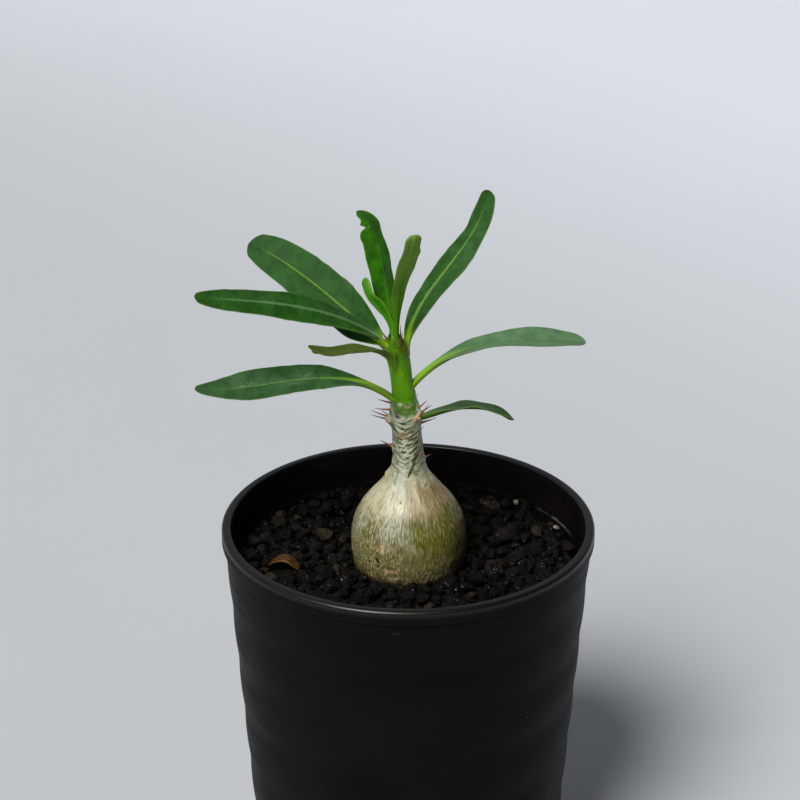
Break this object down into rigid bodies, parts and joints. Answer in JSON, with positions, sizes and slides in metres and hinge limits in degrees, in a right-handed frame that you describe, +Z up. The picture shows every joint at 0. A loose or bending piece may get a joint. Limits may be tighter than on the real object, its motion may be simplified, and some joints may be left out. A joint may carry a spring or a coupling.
{
  "type": "potted pachypodium",
  "caption": "Young pachypodium with a swollen stem base, spiny bark neck and long oval leaves, in gritty mix in a tapered round pot with a helical groove.",
  "frame": {"origin": "middle of the pot's underside, on the flat pad that rests on the surface", "axes": "+Z up along the pot's axis, -Y towards the front of the plant, +X to its right"},
  "size_m": [0.0945, 0.09, 0.1787],
  "materials": {
    "pot_plastic": "matte moulded black",
    "potting_grit": "damp dark grit with a few pale grains",
    "caudex_bark": "wrinkled cream and olive bark, green at the tip",
    "dry_husk": "dry fibrous husk",
    "leaf_mature": "waxy dark green with a pale midrib",
    "leaf_young": "waxy bright green"
  },
  "bodies": {
    "root": {"pot": "pot_plastic", "potting_mix": "potting_grit", "stem": "caudex_bark", "dry_scrap": "dry_husk", "leaf_low_right": "leaf_mature", "leaf_low_left": "leaf_mature", "leaf_mid_right": "leaf_mature", "leaf_front_left": "leaf_mature", "leaf_high_right": "leaf_mature", "leaf_mid_left": "leaf_mature", "leaf_high_left": "leaf_mature", "leaf_front_upright": "leaf_mature", "leaf_young_tall": "leaf_young", "leaf_young_small": "leaf_young"}
  },
  "joints": []
}
